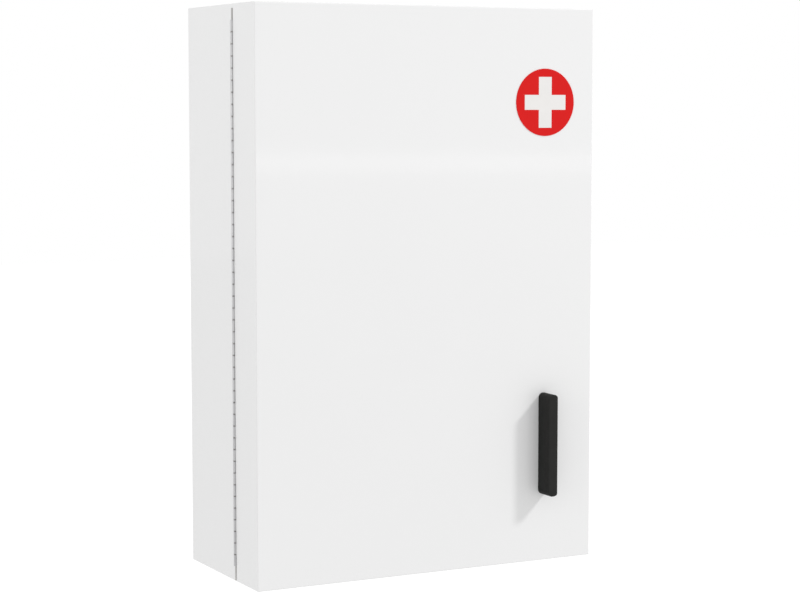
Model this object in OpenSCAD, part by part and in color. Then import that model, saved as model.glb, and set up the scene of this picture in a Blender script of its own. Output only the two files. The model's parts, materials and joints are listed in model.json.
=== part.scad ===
// Lockable wall cabinet for medicines: a folded sheet-steel box with one deep pan door.
// Frame: +X to the right seen from the front, +Y into the wall, +Z up.
// The origin is the centre of the four wall holes, on the back face that lies on the wall.

/* [Cabinet body] */
// Overall width of body and door
cabinet_w = 400; // [300:1:600]
// Overall height of body and door
cabinet_h = 600; // [450:1:900]
// Depth of the body, from the wall to its front flange
body_d = 118.5; // [100:0.5:250]
// Thickness of the folded sheet steel
sheet_t = 1; // [0.8:0.1:1.4]
// Outer radius of the folded edges
fold_r = 1.2; // [1.1:0.1:3]
// Width of the flange round the front opening
front_flange_w = 18; // [16:0.5:24]
// Width of the flange that the back panel is welded to
rear_flange_w = 15; // [10:0.5:20]
// Height of the hem that closes the top of the door gap
rain_hem_h = 4.5; // [3:0.5:8]

/* [Wall holes] */
// Distance between the wall holes, across
wall_hole_dx = 300; // [150:1:340]
// Distance between the wall holes, up and down
wall_hole_dz = 500; // [200:1:540]
// Diameter of a wall hole
wall_hole_d = 8; // [5:0.5:12]

/* [Door] */
// Depth of the door pan
door_d = 55; // [45:0.5:80]
// Gap between the body flange and the door, which holds the hinge leaves
door_gap = 3.5; // [3.3:0.1:4.5]
// Width of the flange round the back of the door pan
door_flange_w = 10; // [9:0.5:13]
// Rest gap between the door and the magnets, the buffers and the rain hem
door_rest_gap = 0.3; // [0.2:0.05:0.6]

/* [Piano hinge] */
// Length of one knuckle with its gap
knuckle_pitch = 12.33; // [8:0.01:20]
// Gap between neighbouring knuckles
knuckle_gap = 0.4; // [0.2:0.05:1.2]
// Least bare length above and below the hinge
hinge_end_margin = 16; // [10:1:40]
// Outer diameter of the hinge barrel
barrel_d = 3.1; // [2.8:0.1:3.2]
// Diameter of the hinge pin
hinge_pin_d = 1.6; // [1.2:0.1:2]
// Thickness of a hinge leaf
leaf_t = 0.7; // [0.6:0.1:1]
// Distance from the side of the cabinet out to the hinge pin
hinge_out = 0.5; // [0.4:0.1:2]
// Width of the leaf on the body
body_leaf_w = 15; // [12:0.5:16]
// Diameter of a rivet's shank
rivet_d = 3.2; // [2.4:0.2:3.2]
// Distance between rivets
rivet_pitch = 100; // [60:5:150]
// Thickness of a rivet's head in the door gap
rivet_head_t = 0.6; // [0.4:0.1:0.8]

/* [Handle] */
// Distance from the right edge of the door to the middle of the handle and the badge
trim_from_edge = 60.5; // [50:0.5:100]
// Height of the handle's middle above the bottom
handle_up = 129.3; // [100:0.1:250]
// Length of the handle
handle_len = 111.5; // [80:0.5:180]
// Width of the handle
handle_w = 11.8; // [9:0.1:20]
// How far the handle stands out
handle_out = 22; // [18:0.5:35]
// Width of the flat between the rounded corners of the handle's ends
handle_end_flat = 1; // [0.4:0.1:5]
// Edge radius round the handle's front
handle_front_r = 1.6; // [0.5:0.1:3]
// Distance between the handle's two screws
handle_screw_pitch = 64; // [32:1:70]
// Diameter of the handle's screws
handle_screw_d = 4; // [3:0.5:5]
// How deep the screws go into the handle
handle_screw_in = 12; // [8:0.5:15]

/* [Badge] */
// Distance from the top of the door to the middle of the badge
badge_down = 100.5; // [60:0.5:150]
// Diameter of the red disc
badge_d = 72; // [50:1:90]
// Width of the white cross
cross_w = 51; // [30:0.5:60]
// Height of the white cross
cross_h = 54.5; // [30:0.5:60]
// Width of the arms of the white cross
cross_arm_w = 16; // [8:0.1:20]
// Thickness of the badge
badge_t = 0.5; // [0.3:0.1:1.5]

/* [Shelves] */
// Depth of a shelf
shelf_d = 104; // [96:1:108]
// Height of a shelf's front and back lips
shelf_lip_h = 12; // [8:1:25]
// Gap between a shelf and each side upright
shelf_side_gap = 2; // [1.4:0.1:4]
// Slot, counted from the middle of the uprights, that holds the upper shelf
upper_shelf_slot = 4; // [2:1:6]
// Slot, counted from the middle of the uprights, that holds the lower shelf
lower_shelf_slot = -4; // [-6:1:-2]
// Gap between a shelf and the clips that it rests on
shelf_rest_gap = 0.2; // [0:0.05:0.3]
// Distance between slots in the uprights
slot_pitch = 25; // [20:1:30]
// Height of a slot
slot_h = 5; // [4:0.5:8]
// Width of an upright's face
upright_w = 20; // [16:0.5:26]
// Width of an upright's welded feet
upright_foot_w = 6; // [4:0.5:8]
// Distance from the front flange back to the middle of the front uprights
front_upright_back = 28.5; // [26:0.5:34]
// Distance from the wall to the middle of the rear uprights
rear_upright_out = 30; // [24:0.5:34]
// How far a shelf clip reaches under the shelf
clip_reach = 10; // [6:0.5:16]
// Width of a shelf clip
clip_w = 7; // [5:0.5:9]

/* [Door bins] */
// Height of the lowest bin's floor above the bottom
bottom_bin_up = 16; // [12:1:30]
// Height from one bin's floor to the next
bin_pitch = 190; // [185:1:280]
// Height of a bin's front lip
bin_lip_h = 42; // [20:1:60]
// Height of the flange that is welded to the door
bin_back_h = 14; // [8:1:30]
// Gap between a bin's lip and the back of the door pan
bin_back_gap = 10; // [6:0.5:16]

/* [Catches and buffers] */
// Height of the magnetic catches above and below the middle
catch_up = 90; // [60:5:140]
// Diameter of a catch's plastic barrel
catch_d = 10; // [9:0.5:11]
// Length of a catch's plastic barrel behind the flange
catch_len = 8.5; // [6:0.5:10]
// Diameter of a magnet
magnet_d = 6.8; // [5:0.2:7]
// Distance from the top and the bottom to the rubber buffers
buffer_from_end = 30; // [20:1:80]
// Diameter of a rubber buffer
buffer_d = 8; // [5:0.5:8]

/* [Lock] */
// Distance from the back of the door pan forward to the middle of the lock
lock_front = 18; // [16:0.5:22]
// Diameter of the lock's outer flange
lock_flange_d = 20; // [19:0.5:24]
// Thickness of the lock's outer flange
lock_flange_t = 2; // [1.5:0.1:3]
// Diameter of the lock's threaded barrel
lock_barrel_d = 16; // [14:0.5:16.5]
// Diameter of the turning plug
plug_d = 11; // [10.8:0.1:12]
// Width across the flats of the lock's nut
lock_nut_af = 19; // [18.5:0.5:22]
// Thickness of the lock's nut
lock_nut_t = 3; // [2:0.5:4]
// Thickness of the cam
cam_t = 2; // [1.5:0.1:2.5]
// Width of the cam
cam_w = 10; // [8:0.5:12]
// How far the cam's tab reaches behind the body flange
tab_reach = 6; // [4:0.5:8]
// Gap between the locked tab and the body flange
tab_gap = 1.1; // [0.6:0.1:2]

/* [Key] */
// Thickness of the key
key_t = 1.6; // [1.2:0.1:2]
// Height of the key's blade
key_blade_h = 6; // [5:0.1:6.2]
// Length of the key's blade in the plug
key_blade_len = 15.5; // [14:0.5:16]
// Diameter of the key's bow
key_bow_d = 16; // [12:0.5:20]
// Length of the key's neck
key_neck = 4; // [3:0.5:8]

/* [Hidden] */
$fn = 64;
cut = 1;                      // extra length of a cutting shape past a face
fit = 0.05;                   // radial clearance of a shaft or a screw in its hole
slip = 0.1;                   // clearance of a flat piece in its place
recess_w = 0.8;               // width of a screw's cross recess

white = [0.93, 0.93, 0.925];
black = [0.10, 0.10, 0.095];
red = [0.85, 0.14, 0.13];
zinc = [0.70, 0.71, 0.72];
brass = [0.78, 0.66, 0.36];
grey_plastic = [0.55, 0.56, 0.57];
rubber = [0.16, 0.16, 0.17];

// Planes of the body
side_x = cabinet_w / 2;
top_z = cabinet_h / 2;
inner_x = side_x - sheet_t;
inner_z = top_z - sheet_t;
mouth_x = side_x - front_flange_w;
mouth_z = top_z - front_flange_w;
body_front_y = -body_d;
flange_back_y = body_front_y + sheet_t;

// Planes of the door
door_back_y = body_front_y - door_gap;
door_front_y = door_back_y - door_d;
door_flange_y = door_back_y - sheet_t;
door_inner_y = door_front_y + sheet_t;
hem_edge_r = 0.4;             // edge radius of the rain hem

// Hinge
hinge_x = -side_x - hinge_out;
hinge_y = body_front_y - door_gap / 2;
knuckles = 2 * floor((cabinet_h - 2 * hinge_end_margin) / (2 * knuckle_pitch));
hinge_len = knuckles * knuckle_pitch;
leaf_edge_x = hinge_x + barrel_d / 2 + door_rest_gap;
leaf_margin = 0.5;            // from the edge of the door's leaf to the edge of its flange
door_leaf_w = door_flange_w - side_x - leaf_margin - leaf_edge_x;
rivets = floor((hinge_len - rivet_pitch / 2) / rivet_pitch) + 1;
body_rivet_x = -side_x + front_flange_w / 2;
door_rivet_x = -side_x + sheet_t + (door_flange_w - sheet_t) / 2;
rivet_head_lip = 1.1;         // how far a rivet's head spreads round its shank
rivet_tail_lip = 0.9;
rivet_tail_t = 0.9;
rivet_head_r = rivet_d / 2 + rivet_head_lip;
rivet_tail_r = rivet_d / 2 + rivet_tail_lip;
rivet_shift = 20;             // the door's rivets sit this much higher than the body's

// Trim on the door's front
trim_x = side_x - trim_from_edge;
handle_z = handle_up - top_z;
handle_end_r = (handle_w - handle_end_flat) / 2;
badge_z = top_z - badge_down;
washer_t = 0.8;
washer_lip = 2.6;             // how far the washer spreads round the screw
washer_r = handle_screw_d / 2 + washer_lip;
screw_head_lip = 1.8;         // how far the head spreads round the shank
screw_head_r = handle_screw_d / 2 + screw_head_lip;
screw_head_t = 2.4;
screw_hole_spare = 1;         // extra depth of the screw's hole in the handle
recess_len = 1.2 * screw_head_r;
cross_fit = 0.02;             // clearance of the white cross in the red disc

// Shelves and uprights
upright_h = 2 * inner_z;
slot_count = 2 * floor((inner_z - slot_pitch) / slot_pitch) + 1;
front_upright_y = body_front_y + front_upright_back;
rear_upright_y = -rear_upright_out;
shelf_x = mouth_x - shelf_side_gap;
shelf_mid_y = (front_upright_y + rear_upright_y) / 2;
tongue_h = 3;                 // height of the tongue that a clip puts through a slot
tongue_in = 2.5;              // how far the tongue reaches through the upright's face
clip_t = 1;
clip_drop = 11;               // length of the clip's plate below its ledge
slot_side_gap = 0.4;          // from a clip to each end of its slot

// Catches and buffers
catch_side_gap = 0.5;         // from a catch's barrel to the side wall
catch_x = inner_x - catch_d / 2 - catch_side_gap;
catch_collar_t = 1.2;
catch_collar_lip = 0.9;       // how far the collar spreads round the barrel
catch_floor_t = 1;            // plastic behind the magnet
catch_floor_y = body_front_y + catch_len - catch_floor_t;
catch_collar_y = body_front_y - catch_collar_t;
buffer_x = side_x - door_flange_w / 2;

// Lock, whose middle line runs along X through the door's right side
lock_y = door_back_y - lock_front;
lock_z = handle_z;
lock_face_x = side_x + lock_flange_t;
cam_side_gap = 1.5;           // from the edge of the body flange to the cam
cam_outer_x = mouth_x - cam_side_gap;
cam_inner_x = cam_outer_x - cam_t;
cam_hub_lip = 1;              // how far the cam's round hub stands out past its arm
cam_hub_gap = 0.8;            // from the cam to the end of the lock's barrel
housing_end_x = cam_outer_x + cam_hub_gap;
lock_washer_t = 1;
lock_washer_lip = 0.5;        // how much wider the washer is than the outer flange
tab_r = flange_back_y - lock_y + tab_gap;
tab_t = 2;
tang_w = 5;
cam_screw_d = 3;
cam_screw_head_t = 2;
cam_screw_head_r = 3.3;
cam_recess_r = 2.1;           // half the length of the cross recess
cam_recess_t = 1;             // depth of the cross recess
cam_washer_t = 0.8;
keyway_side = 0.2;            // clearance round the key's blade
keyway_spare = 0.5;           // from the end of the key to the end of the keyway
keyway_end_x = lock_face_x - key_blade_len - keyway_spare;
plug_web_t = 1;               // wall between the keyway and the cam's screw
screw_end_gap = 1;            // from the cam's screw to the end of its hole
wafer_count = 4;
wafer_t = 0.7;
wafer_pitch = 2.8;
wafer_first = 3;              // distance from the plug's face to the first wafer
wafer_half_w = plug_d / 4;
wafer_end_gap = 1;            // from a wafer's end to the plug's round face
wafer_side = 0.3;             // clearance of the key in a wafer, across
wafer_top = 0.4;              // clearance of the key in a wafer, up and down
notch_gap = 1;                // least gap between the cam's tab and its notch
notch_z_gap = 2;              // gap below the tab as it swings in
swing_r2 = pow(tab_r + tab_t, 2) + pow(cam_w / 2, 2);
notch_low = sqrt(swing_r2 - pow(body_front_y - lock_y, 2)) + notch_z_gap;
notch_high = cam_w / 2 + notch_gap;

// Key
bow_sunk = 1.5;               // how far the round bow reaches into the neck
key_shoulder_h = 1.2;         // how far the shoulder stands out past the blade
ring_hole_r = key_bow_d / 8;
bite_side = 0.3;              // half of how much wider a bite is than its wafer
bite_first = 0.6;             // depth of the shallowest bite
bite_step = 0.4;
bite_depths = 3;

// ---------- shared shapes ----------

// A box from one corner to the opposite one
module block(low, high) {
    translate(low) cube(high - low);
}

// A cylinder along Y from y_high towards the front
module rod_y(x, y_high, y_low, z, r, sides = $fn) {
    translate([x, y_high, z]) rotate([90, 0, 0]) cylinder(r = r, h = y_high - y_low, $fn = sides);
}

// A cylinder along X on the lock's middle line
module lock_rod(x_low, x_high, r, sides = $fn) {
    translate([x_low, lock_y, lock_z]) rotate([0, 90, 0]) cylinder(r = r, h = x_high - x_low, $fn = sides);
}

// A box on the lock's middle line
module lock_block(x_low, x_high, half_y, half_z) {
    block([x_low, lock_y - half_y, lock_z - half_z], [x_high, lock_y + half_y, lock_z + half_z]);
}

// A rectangle with four round corners
module round_rect(w, h, r) {
    square([w - 2 * r, h], center = true);
    square([w, h - 2 * r], center = true);
    for (sx = [-1, 1], sy = [-1, 1])
        translate([sx * (w / 2 - r), sy * (h / 2 - r)]) circle(r);
}

// A rectangle d deep in front of y = 0, whose two front corners are round
module round_front(w, d, r) {
    translate([-w / 2, -(d - r)]) square([w, d - r]);
    translate([-w / 2 + r, -d]) square([w - 2 * r, r + cut / 10]);
    for (s = [-1, 1])
        translate([s * (w / 2 - r), -(d - r)]) circle(r);
}

// A box that is round along its four long corners and round its front
module soft_box(w, h, y_back, d, corner_r, front_r) {
    translate([0, y_back, 0]) intersection() {
        rotate([90, 0, 0]) linear_extrude(d) round_rect(w, h, corner_r);
        translate([0, 0, -h / 2 - cut]) linear_extrude(h + 2 * cut) round_front(w, d, front_r);
        translate([-w / 2 - cut, 0, 0]) rotate([0, 90, 0]) linear_extrude(w + 2 * cut)
            round_front(h, d, front_r);
    }
}

// ---------- cabinet body ----------

// The body's outer form
module body_form() {
    soft_box(cabinet_w, cabinet_h, 0, body_d, fold_r, fold_r);
}

// The form of the hem that closes the top of the door gap
module hem_form() {
    intersection() {
        soft_box(cabinet_w, cabinet_h, 0, body_d + door_gap - door_rest_gap, fold_r, hem_edge_r);
        block([-side_x - cut, door_back_y - cut, top_z - rain_hem_h],
              [side_x + cut, body_front_y + fold_r, top_z + cut]);
    }
}

// The right side: wall, front flange, rear flange and the end of the hem
module side_sheet() {
    wall_low = [inner_x, door_back_y - cut, -top_z - cut];
    wall_high = [side_x + cut, cut, top_z + cut];
    intersection() {
        body_form();
        union() {
            block(wall_low, wall_high);
            block([mouth_x, body_front_y - cut, -inner_z], [side_x, flange_back_y, inner_z]);
            block([side_x - rear_flange_w, -2 * sheet_t, -inner_z], [side_x, -sheet_t, inner_z]);
        }
    }
    intersection() {
        hem_form();
        block(wall_low, wall_high);
    }
}

// The top between the sides: wall, front flange and rear flange
module top_sheet() {
    intersection() {
        body_form();
        union() {
            block([-inner_x, body_front_y - cut, inner_z], [inner_x, cut, top_z + cut]);
            block([-mouth_x, body_front_y - cut, mouth_z], [mouth_x, flange_back_y, top_z]);
            block([rear_flange_w - side_x, -2 * sheet_t, top_z - rear_flange_w],
                  [side_x - rear_flange_w, -sheet_t, top_z]);
        }
    }
}

module body_side_left() {
    color(white) difference() {
        mirror([1, 0, 0]) side_sheet();
        hinge_rivet_holes(body_rivet_x, 0);
    }
}

module body_side_right() {
    color(white) difference() {
        side_sheet();
        for (s = [-1, 1])
            rod_y(catch_x, flange_back_y + cut, body_front_y - cut, s * catch_up, catch_d / 2 + fit);
        // keeper notch, which the cam's tab turns through
        block([mouth_x - cut, body_front_y - cut, lock_z - notch_low],
              [mouth_x + tab_reach + notch_gap, flange_back_y + cut, lock_z - notch_high]);
    }
}

module body_top() {
    color(white) {
        top_sheet();
        intersection() {
            hem_form();
            union() {
                block([-inner_x, door_back_y - cut, 0], [inner_x, body_front_y, top_z + cut]);
                block([-inner_x, door_back_y - cut, inner_z], [inner_x, 0, top_z + cut]);
                block([-mouth_x, door_back_y - cut, 0], [mouth_x, flange_back_y, top_z + cut]);
            }
        }
    }
}

module body_bottom() {
    color(white) mirror([0, 0, 1]) top_sheet();
}

module back_panel() {
    color(white) difference() {
        block([slip - inner_x, -sheet_t, slip - inner_z], [inner_x - slip, 0, inner_z - slip]);
        for (sx = [-1, 1], sz = [-1, 1])
            rod_y(sx * wall_hole_dx / 2, cut, -sheet_t - cut, sz * wall_hole_dz / 2, wall_hole_d / 2);
    }
}

// A slotted top-hat channel on the right wall, centred on y
module upright(y) {
    color(white) difference() {
        translate([0, y, -upright_h / 2]) linear_extrude(upright_h) difference() {
            union() {
                translate([mouth_x, -upright_w / 2]) square([inner_x - mouth_x, upright_w]);
                translate([inner_x - sheet_t, -upright_w / 2 - upright_foot_w])
                    square([sheet_t, upright_w + 2 * upright_foot_w]);
            }
            translate([mouth_x + sheet_t, sheet_t - upright_w / 2])
                square([inner_x - mouth_x, upright_w - 2 * sheet_t]);
        }
        for (i = [-(slot_count - 1) / 2 : (slot_count - 1) / 2])
            block([mouth_x - cut, y - clip_w / 2 - slot_side_gap, i * slot_pitch - slot_h / 2],
                  [mouth_x + sheet_t + cut, y + clip_w / 2 + slot_side_gap, i * slot_pitch + slot_h / 2]);
    }
}

module upright_left_front() { mirror([1, 0, 0]) upright(front_upright_y); }
module upright_left_rear() { mirror([1, 0, 0]) upright(rear_upright_y); }
module upright_right_front() { upright(front_upright_y); }
module upright_right_rear() { upright(rear_upright_y); }

// ---------- shelves ----------

// A clip in the right upright: ledge, plate, and a hooked tongue through the slot
module shelf_clip(y, slot_z) {
    ledge_z = slot_z + tongue_h / 2;
    translate([0, y - clip_w / 2, 0]) {
        block([mouth_x - clip_reach, 0, ledge_z - clip_t], [mouth_x, clip_w, ledge_z]);
        block([mouth_x - clip_t, 0, ledge_z - clip_drop], [mouth_x, clip_w, ledge_z]);
        block([mouth_x - clip_t, 0, slot_z - tongue_h / 2], [mouth_x + tongue_in, clip_w, ledge_z]);
        block([mouth_x + sheet_t + slip, 0, slot_z - slot_h], [mouth_x + tongue_in, clip_w, ledge_z]);
    }
}

module shelf_clips(slot) {
    color(zinc) for (side = [0, 1], y = [front_upright_y, rear_upright_y])
        mirror([side, 0, 0]) shelf_clip(y, slot * slot_pitch);
}

module shelf_clips_upper() { shelf_clips(upper_shelf_slot); }
module shelf_clips_lower() { shelf_clips(lower_shelf_slot); }

// A folded shelf that rests on the clips in the given slot
module shelf(slot) {
    under_z = slot * slot_pitch + tongue_h / 2 + shelf_rest_gap;
    color(white) translate([0, shelf_mid_y, under_z]) {
        block([-shelf_x, -shelf_d / 2, 0], [shelf_x, shelf_d / 2, sheet_t]);
        for (s = [-1, 1])
            block([-shelf_x, s * (shelf_d - sheet_t) / 2 - sheet_t / 2, sheet_t - shelf_lip_h],
                  [shelf_x, s * (shelf_d - sheet_t) / 2 + sheet_t / 2, sheet_t]);
    }
}

module shelf_upper() { shelf(upper_shelf_slot); }
module shelf_lower() { shelf(lower_shelf_slot); }

// ---------- piano hinge ----------

// Middle heights of the rivets
function rivet_z(shift) = [for (i = [0 : rivets - 1]) (i - (rivets - 1) / 2) * rivet_pitch + shift];

module hinge_rivet_holes(x, shift) {
    for (z = rivet_z(shift))
        rod_y(x, flange_back_y + cut, door_flange_y - cut, z, rivet_d / 2 + fit);
}

// One leaf: first is 0 for the body's knuckles and 1 for the door's, y_low is the leaf's front
module hinge_leaf(first, y_low, width, rivet_x, shift) {
    color(zinc) difference() {
        union() {
            block([leaf_edge_x, y_low, -hinge_len / 2],
                  [leaf_edge_x + width, y_low + leaf_t, hinge_len / 2]);
            for (i = [first : 2 : knuckles - 1])
                translate([0, 0, i * knuckle_pitch + knuckle_gap / 2 - hinge_len / 2])
                    linear_extrude(knuckle_pitch - knuckle_gap) difference() {
                        union() {
                            translate([hinge_x, hinge_y]) circle(barrel_d / 2);
                            translate([hinge_x, y_low]) square([leaf_edge_x - hinge_x + leaf_t, leaf_t]);
                        }
                        translate([hinge_x, hinge_y]) circle(hinge_pin_d / 2 + fit);
                    }
        }
        hinge_rivet_holes(rivet_x, shift);
    }
}

module hinge_body_leaf() {
    hinge_leaf(0, body_front_y - leaf_t, body_leaf_w, body_rivet_x, 0);
}

module hinge_door_leaf() {
    hinge_leaf(1, door_back_y, door_leaf_w, door_rivet_x, rivet_shift);
}

module hinge_pin() {
    color(zinc) translate([hinge_x, hinge_y, -hinge_len / 2])
        cylinder(r = hinge_pin_d / 2, h = hinge_len);
}

// Rivets through the body leaf and the body flange
module hinge_body_rivets() {
    leaf_face_y = body_front_y - leaf_t;
    color(zinc) for (z = rivet_z(0)) {
        rod_y(body_rivet_x, leaf_face_y, leaf_face_y - rivet_head_t, z, rivet_head_r);
        rod_y(body_rivet_x, flange_back_y + rivet_tail_t, leaf_face_y - rivet_head_t, z, rivet_d / 2);
        rod_y(body_rivet_x, flange_back_y + rivet_tail_t, flange_back_y, z, rivet_tail_r);
    }
}

// Rivets through the door leaf and the door flange
module hinge_door_rivets() {
    leaf_face_y = door_back_y + leaf_t;
    color(zinc) for (z = rivet_z(rivet_shift)) {
        rod_y(door_rivet_x, leaf_face_y + rivet_head_t, leaf_face_y, z, rivet_head_r);
        rod_y(door_rivet_x, leaf_face_y + rivet_head_t, door_flange_y - rivet_tail_t, z, rivet_d / 2);
        rod_y(door_rivet_x, door_flange_y, door_flange_y - rivet_tail_t, z, rivet_tail_r);
    }
}

// ---------- catches and buffers ----------

module catch_housings() {
    color(grey_plastic) for (s = [-1, 1]) difference() {
        union() {
            rod_y(catch_x, body_front_y, catch_collar_y, s * catch_up, catch_d / 2 + catch_collar_lip);
            rod_y(catch_x, body_front_y + catch_len, catch_collar_y, s * catch_up, catch_d / 2);
        }
        rod_y(catch_x, catch_floor_y, catch_collar_y - cut, s * catch_up, magnet_d / 2 + fit);
    }
}

module catch_magnets() {
    color(zinc) for (s = [-1, 1])
        rod_y(catch_x, catch_floor_y, door_back_y + door_rest_gap, s * catch_up, magnet_d / 2);
}

module door_buffers() {
    color(rubber) for (s = [-1, 1])
        rod_y(buffer_x, body_front_y, door_back_y + door_rest_gap, s * (top_z - buffer_from_end),
              buffer_d / 2);
}

// ---------- door ----------

module door_pan() {
    color(white) difference() {
        soft_box(cabinet_w, cabinet_h, door_back_y, door_d, fold_r, fold_r);
        block([-inner_x, door_inner_y, -inner_z], [inner_x, door_flange_y, inner_z]);
        block([door_flange_w - side_x, door_flange_y - cut, door_flange_w - top_z],
              [side_x - door_flange_w, door_back_y + cut, top_z - door_flange_w]);
        hinge_rivet_holes(door_rivet_x, rivet_shift);
        lock_rod(inner_x - cut, side_x + cut, lock_barrel_d / 2 + fit);
        handle_screw_rods(door_inner_y + cut, door_front_y - cut, handle_screw_d / 2 + fit);
    }
}

// A bin across the door: welded back flange, floor and front lip
module door_bin(level) {
    back_y = door_inner_y;
    lip_y = door_flange_y - bin_back_gap;
    color(white) translate([-inner_x, 0, level * bin_pitch + bottom_bin_up - top_z])
        rotate([90, 0, 90]) linear_extrude(2 * inner_x) {
            translate([back_y, 0]) square([lip_y - back_y, sheet_t]);
            translate([back_y, 0]) square([sheet_t, bin_back_h]);
            translate([lip_y - sheet_t, 0]) square([sheet_t, bin_lip_h]);
        }
}

module door_bin_bottom() { door_bin(0); }
module door_bin_middle() { door_bin(1); }
module door_bin_top() { door_bin(2); }

// ---------- handle ----------

// Two rods along Y at the handle's screws
module handle_screw_rods(y_high, y_low, r) {
    for (s = [-1, 1])
        rod_y(trim_x, y_high, y_low, handle_z + s * handle_screw_pitch / 2, r);
}

module handle() {
    color(black) difference() {
        translate([trim_x, 0, handle_z])
            soft_box(handle_w, handle_len, door_front_y, handle_out, handle_end_r, handle_front_r);
        handle_screw_rods(door_front_y + cut, door_front_y - handle_screw_in - screw_hole_spare,
                          handle_screw_d / 2 + fit);
    }
}

module handle_washers() {
    color(zinc) difference() {
        handle_screw_rods(door_inner_y + washer_t, door_inner_y, washer_r);
        handle_screw_rods(door_inner_y + washer_t + cut, door_inner_y - cut, handle_screw_d / 2 + fit);
    }
}

module handle_screws() {
    seat_y = door_inner_y + washer_t;
    color(zinc) difference() {
        union() {
            handle_screw_rods(seat_y + screw_head_t, seat_y, screw_head_r);
            handle_screw_rods(seat_y + screw_head_t, door_front_y - handle_screw_in, handle_screw_d / 2);
        }
        // cross recess
        for (s = [-1, 1], turn = [0, 90])
            translate([trim_x, seat_y + screw_head_t, handle_z + s * handle_screw_pitch / 2])
                rotate([0, turn, 0]) cube([recess_len, screw_head_t, recess_w], center = true);
    }
}

// ---------- badge ----------

// Outline of the cross, seen from the front
module cross_outline(clearance) {
    square([cross_w - 2 * clearance, cross_arm_w - 2 * clearance], center = true);
    square([cross_arm_w - 2 * clearance, cross_h - 2 * clearance], center = true);
}

module badge_disc() {
    color(red) translate([trim_x, door_front_y, badge_z]) rotate([90, 0, 0])
        linear_extrude(badge_t) difference() {
            circle(badge_d / 2);
            cross_outline(0);
        }
}

module badge_cross() {
    color(white) translate([trim_x, door_front_y, badge_z]) rotate([90, 0, 0])
        linear_extrude(badge_t) cross_outline(cross_fit);
}

// ---------- lock on the door's right side ----------

module lock_housing() {
    color(zinc) difference() {
        union() {
            lock_rod(side_x, lock_face_x, lock_flange_d / 2);
            lock_rod(housing_end_x, lock_face_x, lock_barrel_d / 2);
        }
        lock_rod(housing_end_x - cut, lock_face_x + cut, plug_d / 2 + fit);
    }
}

module lock_washer() {
    color(zinc) difference() {
        lock_rod(inner_x - lock_washer_t, inner_x, lock_flange_d / 2 + lock_washer_lip);
        lock_rod(inner_x - lock_washer_t - cut, inner_x + cut, lock_barrel_d / 2 + fit);
    }
}

module lock_nut() {
    nut_x = inner_x - lock_washer_t;
    corner_r = lock_nut_af / 2 / cos(30);
    color(zinc) difference() {
        lock_rod(nut_x - lock_nut_t, nut_x, corner_r, 6);
        lock_rod(nut_x - lock_nut_t - cut, nut_x + cut, lock_barrel_d / 2 + fit);
    }
}

// Left ends of the wafers, counted from the plug's face
function wafer_x(i) = lock_face_x - wafer_first - i * wafer_pitch;

module lock_plug() {
    color(brass) difference() {
        union() {
            lock_rod(cam_outer_x, lock_face_x, plug_d / 2);
            lock_block(cam_inner_x, cam_outer_x + cut, tang_w / 2, tang_w / 2);
        }
        // keyway
        lock_block(keyway_end_x, lock_face_x + cut,
                   key_t / 2 + keyway_side, key_blade_h / 2 + keyway_side);
        // wafer slots
        for (i = [0 : wafer_count - 1])
            lock_block(wafer_x(i) - slip, wafer_x(i) + wafer_t + slip, wafer_half_w, plug_d);
        // thread for the cam's screw
        lock_rod(cam_inner_x - cut, keyway_end_x - plug_web_t, cam_screw_d / 2 + fit);
    }
}

module lock_wafers() {
    color(brass) for (i = [0 : wafer_count - 1]) difference() {
        lock_block(wafer_x(i), wafer_x(i) + wafer_t, wafer_half_w - slip, plug_d / 2 - wafer_end_gap);
        lock_block(wafer_x(i) - cut, wafer_x(i) + wafer_t + cut,
                   key_t / 2 + wafer_side, key_blade_h / 2 + wafer_top);
    }
}

// Flat cam that hangs down when unlocked, with a tab bent outward at its end
module lock_cam() {
    color(zinc) difference() {
        union() {
            lock_rod(cam_inner_x, cam_outer_x, cam_w / 2 + cam_hub_lip);
            block([cam_inner_x, lock_y - cam_w / 2, lock_z - tab_r - tab_t],
                  [cam_outer_x, lock_y + cam_w / 2, lock_z]);
            block([cam_inner_x, lock_y - cam_w / 2, lock_z - tab_r - tab_t],
                  [mouth_x + tab_reach, lock_y + cam_w / 2, lock_z - tab_r]);
        }
        lock_block(cam_inner_x - cut, cam_outer_x + cut, tang_w / 2 + fit, tang_w / 2 + fit);
    }
}

module cam_washer() {
    color(zinc) difference() {
        lock_rod(cam_inner_x - cam_washer_t, cam_inner_x, cam_w / 2);
        lock_rod(cam_inner_x - cam_washer_t - cut, cam_inner_x + cut, cam_screw_d / 2 + fit);
    }
}

module cam_screw() {
    seat_x = cam_inner_x - cam_washer_t;
    head_x = seat_x - cam_screw_head_t;
    color(zinc) difference() {
        union() {
            lock_rod(head_x, seat_x, cam_screw_head_r);
            lock_rod(head_x, keyway_end_x - plug_web_t - screw_end_gap, cam_screw_d / 2);
        }
        // cross recess
        lock_block(head_x - cut, head_x + cam_recess_t, cam_recess_r, recess_w / 2);
        lock_block(head_x - cut, head_x + cam_recess_t, recess_w / 2, cam_recess_r);
    }
}

// ---------- key ----------

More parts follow.
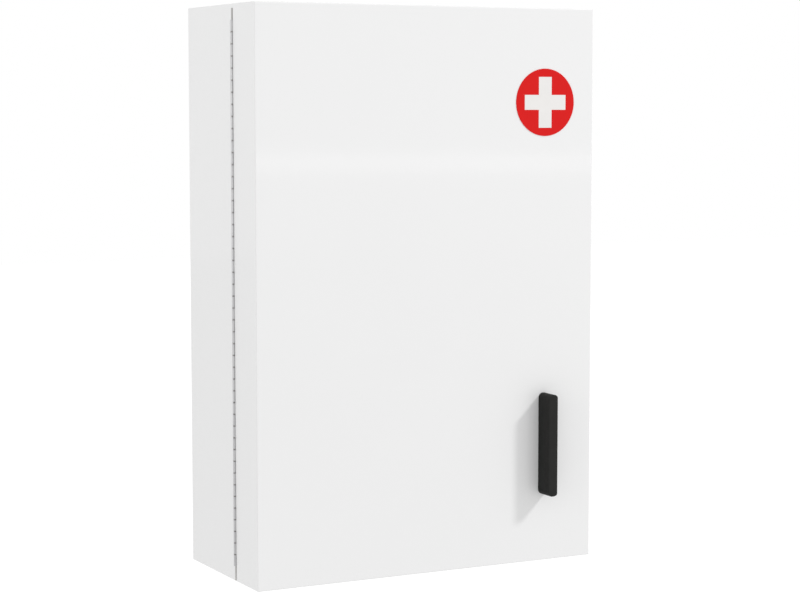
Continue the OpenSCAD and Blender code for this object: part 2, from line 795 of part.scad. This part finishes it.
module key() {
    shoulder_x = lock_face_x + door_rest_gap;
    bow_x = shoulder_x + key_neck + key_bow_d / 2 - bow_sunk;
    color(zinc) difference() {
        union() {
            lock_block(lock_face_x - key_blade_len, shoulder_x + key_neck, key_t / 2, key_blade_h / 2);
            lock_block(shoulder_x, shoulder_x + key_neck, key_t / 2, key_blade_h / 2 + key_shoulder_h);
            rod_y(bow_x, lock_y + key_t / 2, lock_y - key_t / 2, lock_z, key_bow_d / 2);
        }
        // ring hole
        rod_y(bow_x + key_bow_d / 4, lock_y + key_t, lock_y - key_t, lock_z, ring_hole_r);
        // bitting
        for (i = [0 : wafer_count - 1])
            block([wafer_x(i) - bite_side, lock_y - key_t,
                   lock_z + key_blade_h / 2 - bite_first - bite_step * (i % bite_depths)],
                  [wafer_x(i) + wafer_t + bite_side, lock_y + key_t, lock_z + key_blade_h]);
    }
}

body_side_left();
body_side_right();
body_top();
body_bottom();
back_panel();
upright_left_front();
upright_left_rear();
upright_right_front();
upright_right_rear();
shelf_clips_upper();
shelf_clips_lower();
shelf_upper();
shelf_lower();
hinge_body_leaf();
hinge_door_leaf();
hinge_pin();
hinge_body_rivets();
hinge_door_rivets();
catch_housings();
catch_magnets();
door_buffers();
door_pan();
door_bin_top();
door_bin_middle();
door_bin_bottom();
handle();
handle_screws();
handle_washers();
badge_disc();
badge_cross();
lock_housing();
lock_washer();
lock_nut();
lock_plug();
lock_wafers();
lock_cam();
cam_washer();
cam_screw();
key();
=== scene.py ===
"""White steel medicine cabinet: finishes, plain studio light and the camera of the photograph.

Units are metres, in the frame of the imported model: +X right, +Y into the wall, +Z up, and the
origin in the middle of the cabinet's back.
"""
import json
import math

import bpy
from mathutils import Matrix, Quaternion, Vector


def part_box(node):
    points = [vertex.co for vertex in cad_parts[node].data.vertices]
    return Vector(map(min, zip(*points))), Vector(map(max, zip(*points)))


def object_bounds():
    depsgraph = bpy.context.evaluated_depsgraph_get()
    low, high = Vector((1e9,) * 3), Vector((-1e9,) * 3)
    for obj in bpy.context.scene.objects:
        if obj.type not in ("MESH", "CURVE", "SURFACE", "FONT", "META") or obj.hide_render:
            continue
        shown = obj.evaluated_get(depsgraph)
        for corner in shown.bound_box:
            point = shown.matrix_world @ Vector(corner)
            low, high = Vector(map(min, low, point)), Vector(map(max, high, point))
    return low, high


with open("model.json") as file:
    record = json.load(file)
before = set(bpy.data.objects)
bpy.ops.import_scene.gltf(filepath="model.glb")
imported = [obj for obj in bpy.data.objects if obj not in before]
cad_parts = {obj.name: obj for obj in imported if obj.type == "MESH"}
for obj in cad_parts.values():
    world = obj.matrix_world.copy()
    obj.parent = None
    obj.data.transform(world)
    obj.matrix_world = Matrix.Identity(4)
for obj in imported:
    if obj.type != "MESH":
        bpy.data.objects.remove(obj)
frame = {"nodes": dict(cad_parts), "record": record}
cad_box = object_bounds()

MM = 0.001

# Millimetres, as in the part's source
KNUCKLE = 12.33         # length of one knuckle of the piano hinge, from z = 0 up and down
LEAF_FROM_AXIS = 1.6    # from the hinge's axis to the inner side of its knuckles
HEM_H = 4.5             # height of the hem that closes the top of the door gap

# Millimetres, for marks that the finishes put on those shapes
GRIME_AND_SHADE_FULL = 0.35       # how far from a joint of two knuckles the grime and painted shade are full
GRIME_AND_SHADE_END = 1.0         # and where they end
GAP_SHADE_IN = 3.0           # how far from the hinge's axis the painted shade lies in the door gap
GAP_SHADE_HALF_W = 2.7       # half the width of that painted shade, with the rounded edges of the gap

pin_low, pin_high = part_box("hinge_pin")
HINGE_X = (pin_low[0] + pin_high[0]) / 2
HINGE_Y = (pin_low[1] + pin_high[1]) / 2
HINGE_TOP = pin_high[2]


# ---------- small helpers ----------

# Most of a noise texture's values lie between these
NOISE_LOW = 0.3
NOISE_HIGH = 0.7


def srgb(red, green, blue):
    """A linear colour from sRGB levels of 0 to 255."""
    def linear(level):
        c = level / 255
        return c / 12.92 if c <= 0.04045 else ((c + 0.055) / 1.055) ** 2.4
    return (linear(red), linear(green), linear(blue), 1.0)


def shade(colour, factor):
    """The same colour, lighter or darker by a factor."""
    return tuple(min(1.0, c * factor) for c in colour[:3]) + (1.0,)


class Surface:
    """A Principled material with object-space noise for its colour, roughness and bump."""

    def __init__(self, name, **sockets):
        self.material = bpy.data.materials.new(name)
        self.material.use_nodes = True
        self.tree = self.material.node_tree
        self.bsdf = self.tree.nodes["Principled BSDF"]
        for socket, value in sockets.items():
            self.bsdf.inputs[socket.replace("_", " ")].default_value = value
        coordinates = self.node("ShaderNodeTexCoord")
        self.place = coordinates.outputs["Object"]
        self.normal = coordinates.outputs["Normal"]

    def node(self, kind, **settings):
        made = self.tree.nodes.new(kind)
        for key, value in settings.items():
            setattr(made, key, value)
        return made

    def link(self, output, target):
        self.tree.links.new(output, target)

    def maths(self, operation, *values):
        """A math node on outputs of other nodes and plain numbers."""
        made = self.node("ShaderNodeMath", operation=operation)
        for socket, value in zip(made.inputs, values):
            if isinstance(value, bpy.types.NodeSocket):
                self.link(value, socket)
            else:
                socket.default_value = value
        return made.outputs[0]

    def axes(self, vector):
        """X, Y and Z of a vector."""
        split = self.node("ShaderNodeSeparateXYZ")
        self.link(vector, split.inputs[0])
        return split.outputs["X"], split.outputs["Y"], split.outputs["Z"]

    def stretched(self, scale):
        """Object coordinates scaled by a vector, for grain along one direction."""
        mapping = self.node("ShaderNodeMapping")
        mapping.inputs["Scale"].default_value = scale
        self.link(self.place, mapping.inputs["Vector"])
        return mapping.outputs["Vector"]

    def noise(self, scale, detail=2.0, place=None):
        """Noise whose scale is in waves per metre."""
        noise = self.node("ShaderNodeTexNoise")
        noise.inputs["Scale"].default_value = scale
        noise.inputs["Detail"].default_value = detail
        self.link(place or self.place, noise.inputs["Vector"])
        return noise.outputs["Fac"]

    def ranged(self, value, from_low, from_high, to_low=0.0, to_high=1.0):
        """A value mapped from one range to another, and held at its ends."""
        mapped = self.node("ShaderNodeMapRange")
        mapped.inputs["From Min"].default_value = from_low
        mapped.inputs["From Max"].default_value = from_high
        mapped.inputs["To Min"].default_value = to_low
        mapped.inputs["To Max"].default_value = to_high
        self.link(value, mapped.inputs["Value"])
        return mapped.outputs["Result"]

    def spread(self, value, low, high):
        """A noise value, mapped to low and high."""
        return self.ranged(value, NOISE_LOW, NOISE_HIGH, low, high)

    def colours(self, value, low, high, lowest=None):
        """Base colour between two colours, by a noise value. A value of 0 or less can have its own."""
        ramp = self.node("ShaderNodeValToRGB")
        stops = ramp.color_ramp.elements
        stops[0].position = NOISE_LOW
        stops[0].color = low
        stops[1].position = NOISE_HIGH
        stops[1].color = high
        if lowest:
            stops.new(NOISE_LOW / 3).color = low
            stops.new(0.0).color = lowest
        self.link(value, ramp.inputs["Fac"])
        self.link(ramp.outputs["Color"], self.bsdf.inputs["Base Color"])

    def roughness(self, value, low, high):
        self.link(self.spread(value, low, high), self.bsdf.inputs["Roughness"])

    def bump(self, value, depth, strength):
        """Bump of a depth in millimetres."""
        bump = self.node("ShaderNodeBump")
        bump.inputs["Strength"].default_value = strength
        bump.inputs["Distance"].default_value = depth * MM
        self.link(value, bump.inputs["Height"])
        self.link(bump.outputs["Normal"], self.bsdf.inputs["Normal"])


# ---------- finishes, one function each ----------

def powder_coat():
    """Smooth semi-gloss white powder coat with a faint orange peel.

    The bare door gap above and below the hinge is painted darker grey, up to the hem, as painted shade
    in the gap.
    """
    white = srgb(239, 239, 239)
    s = Surface("powder_coat", Specular_IOR_Level=0.4, Coat_Weight=0.35, Coat_Roughness=0.06)
    x, y, z = s.axes(s.place)
    # Painted shade: a darker grey base colour in the bare door gap above and below the hinge, up to
    # the hem
    painted_gap_shade = s.maths("COMPARE", x, HINGE_X, GAP_SHADE_IN * MM)
    for limit in (s.maths("COMPARE", y, HINGE_Y, GAP_SHADE_HALF_W * MM),
                  s.maths("GREATER_THAN", s.maths("ABSOLUTE", z), HINGE_TOP),
                  s.maths("LESS_THAN", z, cad_box[1][2] - HEM_H * MM)):
        painted_gap_shade = s.maths("MULTIPLY", painted_gap_shade, limit)
    s.colours(s.maths("SUBTRACT", s.noise(9.0), painted_gap_shade),
              shade(white, 0.997), shade(white, 1.002), lowest=srgb(205, 204, 202))
    s.roughness(s.noise(35.0), 0.34, 0.42)
    s.bump(s.noise(900.0, 1.0), 0.004, 0.35)
    return s.material


def handle_black():
    """Satin black moulding with a fine spark-eroded grain; its front face is painted lighter and its
    sides darker, as painted light, over a random tone.
    """
    front_painted_light = 0.3
    s = Surface("handle_black", Specular_IOR_Level=0.08)
    backward = s.axes(s.normal)[1]
    # Painted light: base colour lighter on faces whose normal points to the front, darker on the
    # sides; the noise is random tone
    tone_and_painted_light = s.maths("MULTIPLY_ADD", backward, -front_painted_light, s.spread(s.noise(120.0), 0.28, 0.42))
    s.colours(tone_and_painted_light, srgb(34, 34, 33), srgb(43, 43, 42))
    s.roughness(s.noise(400.0), 0.52, 0.62)
    s.bump(s.noise(2600.0, 3.0), 0.02, 0.35)
    return s.material


def printed_film(name, colour):
    """Satin printed film."""
    s = Surface(name, Specular_IOR_Level=0.12)
    s.colours(s.noise(60.0), shade(colour, 0.985), shade(colour, 1.01))
    s.roughness(s.noise(200.0), 0.36, 0.44)
    s.bump(s.noise(1500.0, 1.0), 0.003, 0.3)
    return s.material


def plated(name, colour, rough, grain=(1.0, 1.0, 1.0), depth=0.006):
    """Plated metal with a light grain, a depth in millimetres."""
    s = Surface(name, Metallic=1.0)
    streaks = s.noise(700.0, 3.0, s.stretched(grain))
    s.colours(s.noise(150.0), shade(colour, 0.93), shade(colour, 1.05))
    s.roughness(streaks, rough - 0.05, rough + 0.07)
    s.bump(streaks, depth, 0.4)
    return s.material


def hinge_steel():
    """Dull rolled strip, darker where the knuckles meet, as grime and painted shade in the joints, but
    not on the leaves or the outer ends.
    """
    s = Surface("hinge_steel", Metallic=1.0)
    x, _, z = s.axes(s.place)
    # Grime and painted shade: a darker base colour near each joint of two knuckles, also on the pin
    # seen between them
    from_joint = s.maths("PINGPONG", z, KNUCKLE * MM / 2)
    free_of_grime_and_shade = s.ranged(from_joint, GRIME_AND_SHADE_FULL * MM, GRIME_AND_SHADE_END * MM)
    for bare in (s.maths("GREATER_THAN", x, HINGE_X + LEAF_FROM_AXIS * MM),
                 s.maths("GREATER_THAN", s.maths("ABSOLUTE", z), HINGE_TOP - KNUCKLE * MM / 2)):
        free_of_grime_and_shade = s.maths("MAXIMUM", free_of_grime_and_shade, bare)
    tone_grime_and_shade = s.maths("MULTIPLY", s.spread(s.noise(150.0), 0.85, 1.0), free_of_grime_and_shade)
    s.colours(tone_grime_and_shade, srgb(140, 139, 137), srgb(190, 190, 191))
    s.roughness(s.noise(700.0, 3.0), 0.33, 0.45)
    s.bump(s.noise(900.0, 3.0), 0.003, 0.4)
    return s.material


def moulded(name, colour, rough):
    """Matt moulding or rubber."""
    s = Surface(name, Specular_IOR_Level=0.35)
    s.colours(s.noise(200.0), shade(colour, 0.9), shade(colour, 1.1))
    s.roughness(s.noise(500.0), rough - 0.06, rough + 0.06)
    s.bump(s.noise(1800.0, 3.0), 0.02, 0.4)
    return s.material


FINISHES = {
    "powder_coat": powder_coat(),
    "handle_black": handle_black(),
    "badge_red": printed_film("badge_red", srgb(217, 27, 26)),
    "badge_white": printed_film("badge_white", srgb(236, 234, 232)),
    "zinc_plate": plated("zinc_plate", srgb(205, 207, 210), 0.30),
    "hinge_steel": hinge_steel(),
    "lock_chrome": plated("lock_chrome", srgb(196, 197, 199), 0.14, depth=0.002),
    "wafer_brass": plated("wafer_brass", srgb(205, 176, 110), 0.32),
    "key_nickel": plated("key_nickel", srgb(176, 173, 167), 0.26, grain=(0.1, 1.0, 1.0)),
    "catch_plastic": moulded("catch_plastic", srgb(150, 152, 154), 0.5),
    "magnet": plated("magnet", srgb(150, 150, 152), 0.25),
    "buffer_rubber": moulded("buffer_rubber", srgb(52, 52, 53), 0.7),
}


def dress(node, material):
    """Gives a CAD node its finish."""
    mesh = frame["nodes"][node].data
    if mesh.materials:
        for i in range(len(mesh.materials)):
            mesh.materials[i] = material
    else:
        mesh.materials.append(material)


for subpart in frame["record"]["subparts"]:
    dress(subpart["node"], FINISHES[subpart["material_slot"]])


# ---------- floor, background and light ----------

AMBIENT = 0.741         # strength of the even white light round the object
FLOOR_DROP = 2.0        # from the cabinet down to the floor, with room for a camera that looks up
FLOOR_HALF = 30.0       # half the floor's width and depth
FLOOR_GREY = 0.86       # linear reflectance of the floor
MIDDLE = (0.0, -0.1, 0.0)      # near the middle of the closed cabinet


def by_ray(tree, camera, glossy, others=0.0):
    """A value for all rays, with more for camera rays and for glossy and transmission rays."""
    path = tree.nodes.new("ShaderNodeLightPath")
    total = None
    for ray, value in (("Camera", camera), ("Glossy", glossy), ("Transmission", glossy)):
        part = tree.nodes.new("ShaderNodeMath")
        part.operation = "MULTIPLY_ADD"
        part.inputs[1].default_value = value
        part.inputs[2].default_value = others
        tree.links.new(path.outputs[f"Is {ray} Ray"], part.inputs[0])
        if total:
            tree.links.new(total, part.inputs[2])
        total = part.outputs[0]
    return total


def make_world():
    """Even white light on the object, behind a background of plain white."""
    world = bpy.data.worlds.new("studio")
    bpy.context.scene.world = world
    world.use_nodes = True
    tree = world.node_tree
    tree.nodes.clear()
    mix = tree.nodes.new("ShaderNodeMixShader")
    tree.links.new(by_ray(tree, camera=1.0, glossy=1.0), mix.inputs["Fac"])
    for socket, strength in ((1, AMBIENT), (2, 1.0)):
        background = tree.nodes.new("ShaderNodeBackground")
        background.inputs["Color"].default_value = (1.0, 1.0, 1.0, 1.0)
        background.inputs["Strength"].default_value = strength
        tree.links.new(background.outputs[0], mix.inputs[socket])
    output = tree.nodes.new("ShaderNodeOutputWorld")
    tree.links.new(mix.outputs[0], output.inputs["Surface"])


def make_floor():
    """Pale floor that stays white to the camera but darkens where the object shades it."""
    z = cad_box[0][2] - FLOOR_DROP
    mesh = bpy.data.meshes.new("floor")
    corners = [(x * FLOOR_HALF, y * FLOOR_HALF, z) for x, y in ((-1, -1), (1, -1), (1, 1), (-1, 1))]
    mesh.from_pydata(corners, [], [(0, 1, 2, 3)])
    floor = bpy.data.objects.new("floor", mesh)
    bpy.context.scene.collection.objects.link(floor)
    material = bpy.data.materials.new("floor")
    material.use_nodes = True
    tree = material.node_tree
    tree.nodes.clear()
    diffuse = tree.nodes.new("ShaderNodeBsdfDiffuse")
    diffuse.inputs["Color"].default_value = (FLOOR_GREY, FLOOR_GREY, FLOOR_GREY, 1.0)
    glow = tree.nodes.new("ShaderNodeEmission")
    tree.links.new(by_ray(tree, camera=0.4, glossy=0.1, others=0.05), glow.inputs["Strength"])
    add = tree.nodes.new("ShaderNodeAddShader")
    output = tree.nodes.new("ShaderNodeOutputMaterial")
    tree.links.new(diffuse.outputs[0], add.inputs[0])
    tree.links.new(glow.outputs[0], add.inputs[1])
    tree.links.new(add.outputs[0], output.inputs["Surface"])
    mesh.materials.append(material)


def softbox(name, direction, distance, width, height, watts, aim=MIDDLE, roll=0.0):
    """An area lamp in that direction from its aim, facing it, rolled by degrees."""
    lamp = bpy.data.lights.new(name, "AREA")
    lamp.shape = "RECTANGLE"
    lamp.size = width
    lamp.size_y = height
    lamp.energy = watts
    lamp_object = bpy.data.objects.new(name, lamp)
    target = Vector(aim)
    lamp_object.location = target + Vector(direction).normalized() * distance
    facing = (target - lamp_object.location).to_track_quat("-Z", "Y")
    facing @= Quaternion((0.0, 0.0, 1.0), math.radians(roll))
    lamp_object.rotation_euler = facing.to_euler()
    bpy.context.scene.collection.objects.link(lamp_object)


def towards(right_deg, up_deg):
    """Direction from the door: degrees to the right of its normal and above the horizon."""
    right, up = math.radians(right_deg), math.radians(up_deg)
    return (math.sin(right) * math.cos(up), -math.cos(right) * math.cos(up), math.sin(up))


make_world()
make_floor()
softbox("key", towards(54, 37), distance=6.0, width=0.7, height=0.7, watts=142.5)
softbox("left_fill", towards(-82, 12), distance=3.0, width=2.2, height=2.2, watts=15.2)
# A low strip whose reflection is the faint band across the upper part of the door
softbox("strip", towards(0, 0), distance=3.1, width=5.0, height=0.04, watts=2.0,
        aim=(0.9, -0.1, 0.052), roll=-0.72)


# ---------- camera ----------

SENSOR = 36.0           # millimetres
IMAGE_WIDTH = 800       # pixels
FOCAL = 2119.0          # pixels, fitted to the corners in the photograph, as are the next three
YAW = 27.356            # degrees to the right
PITCH = 5.261           # degrees down
EYE = (-1.0504, -2.1376, 0.1968)

camera_data = bpy.data.cameras.new("camera")
camera_data.sensor_width = SENSOR
camera_data.lens = FOCAL / IMAGE_WIDTH * SENSOR
camera = bpy.data.objects.new("camera", camera_data)
camera.location = EYE
camera.rotation_euler = (math.radians(90 - PITCH), 0.0, math.radians(-YAW))
bpy.context.scene.collection.objects.link(camera)
bpy.context.scene.camera = camera
bpy.context.scene.view_settings.view_transform = "Standard"
